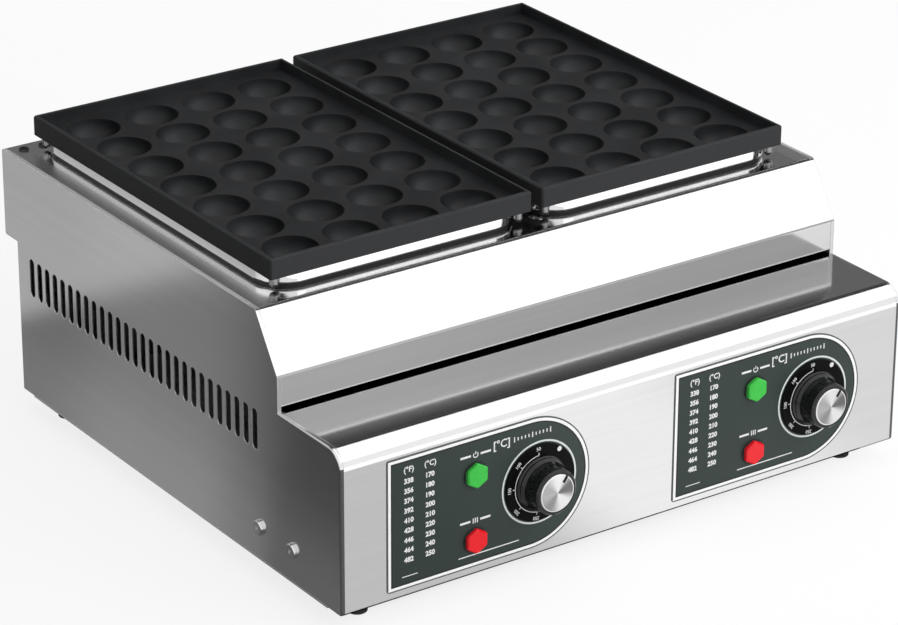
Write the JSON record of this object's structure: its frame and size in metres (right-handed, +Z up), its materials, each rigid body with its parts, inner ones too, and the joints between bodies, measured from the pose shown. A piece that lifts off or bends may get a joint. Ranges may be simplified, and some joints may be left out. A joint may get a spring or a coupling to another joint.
{
  "type": "takoyaki maker",
  "caption": "Countertop electric cooker with two lift-off black plates of round pits on a folded stainless housing, knobs with dials and lamps in front.",
  "frame": {"origin": "On the counter under the middle of the machine's bounding box", "axes": "+X to the user's right, -Y is the front with the knobs, +Z up"},
  "size_m": [0.4852, 0.4714, 0.2272],
  "materials": {
    "stainless_brushed": "brushed",
    "galvanised_sheet": "satin",
    "aluminised_sheet": "satin",
    "element_sheath": "satin",
    "steel_bright": "polished",
    "copper": "polished",
    "switch_housing": "matte",
    "printed_label": "satin",
    "knob_black": "gloss",
    "spun_aluminium": "spun",
    "lens_green": "gloss",
    "lens_red": "gloss",
    "black_plastic": "matte",
    "cast_black": "coated",
    "screw_steel": "polished",
    "foot_rubber": "matte",
    "terminal_ceramic": "matte",
    "gland_plastic": "matte",
    "wire_insulation": "satin"
  },
  "bodies": {
    "housing": {"base_pan": "galvanised_sheet", "base_screws": "screw_steel", "cable_gland": "gland_plastic", "capillary_left": "copper", "capillary_right": "copper", "control_label_left": "printed_label", "control_label_right": "printed_label", "control_wires": "wire_insulation", "earth_stud": "screw_steel", "element_racks_left": "aluminised_sheet", "element_racks_right": "aluminised_sheet", "element_wires_left": "wire_insulation", "element_wires_right": "wire_insulation", "foot_front_left": "foot_rubber", "foot_front_right": "foot_rubber", "foot_rear_left": "foot_rubber", "foot_rear_right": "foot_rubber", "foot_screws": "screw_steel", "front_fascia": "stainless_brushed", "gland_nut": "gland_plastic", "heat_lens_left": "lens_red", "heat_lens_right": "lens_red", "heat_tray_left": "aluminised_sheet", "heat_tray_right": "aluminised_sheet", "heating_element_left_a": "element_sheath", "heating_element_left_b": "element_sheath", "heating_element_right_a": "element_sheath", "heating_element_right_b": "element_sheath", "hood_screws": "screw_steel", "hood_shell": "stainless_brushed", "lamp_holders_left": "black_plastic", "lamp_holders_right": "black_plastic", "lamp_nuts": "black_plastic", "left_side_panel": "stainless_brushed", "power_lens_left": "lens_green", "power_lens_right": "lens_green", "rear_panel": "stainless_brushed", "rear_screws": "screw_steel", "right_side_panel": "stainless_brushed", "side_screws_left": "screw_steel", "side_screws_right": "screw_steel", "terminal_block": "terminal_ceramic", "terminal_screws": "screw_steel", "thermostat_bulb_left": "steel_bright", "thermostat_bulb_right": "steel_bright", "thermostat_left": "switch_housing", "thermostat_right": "switch_housing", "thermostat_screws": "screw_steel", "well_collar_left": "stainless_brushed", "well_collar_right": "stainless_brushed"},
    "left_knob": {"knob_cap_left": "spun_aluminium", "knob_left": "knob_black", "thermostat_shaft_left": "steel_bright"},
    "right_knob": {"knob_cap_right": "spun_aluminium", "knob_right": "knob_black", "thermostat_shaft_right": "steel_bright"},
    "left_plate": {"mould_plate_left": "cast_black", "plate_studs_left": "steel_bright"},
    "right_plate": {"mould_plate_right": "cast_black", "plate_studs_right": "steel_bright"}
  },
  "joints": [
    {"name": "left_knob_turn", "type": "hinge", "parent": "housing", "child": "left_knob", "pos_m": [-0.079, -0.2138, 0.07], "axis": [0, 1, 0], "range_deg": [0, 270]},
    {"name": "right_knob_turn", "type": "hinge", "parent": "housing", "child": "right_knob", "pos_m": [0.161, -0.2138, 0.07], "axis": [0, 1, 0], "range_deg": [0, 270]},
    {"name": "left_plate_lift", "type": "slide", "parent": "housing", "child": "left_plate", "axis": [0, 0, 1], "range_m": [0, 0.08]},
    {"name": "right_plate_lift", "type": "slide", "parent": "housing", "child": "right_plate", "axis": [0, 0, 1], "range_m": [0, 0.08]}
  ]
}
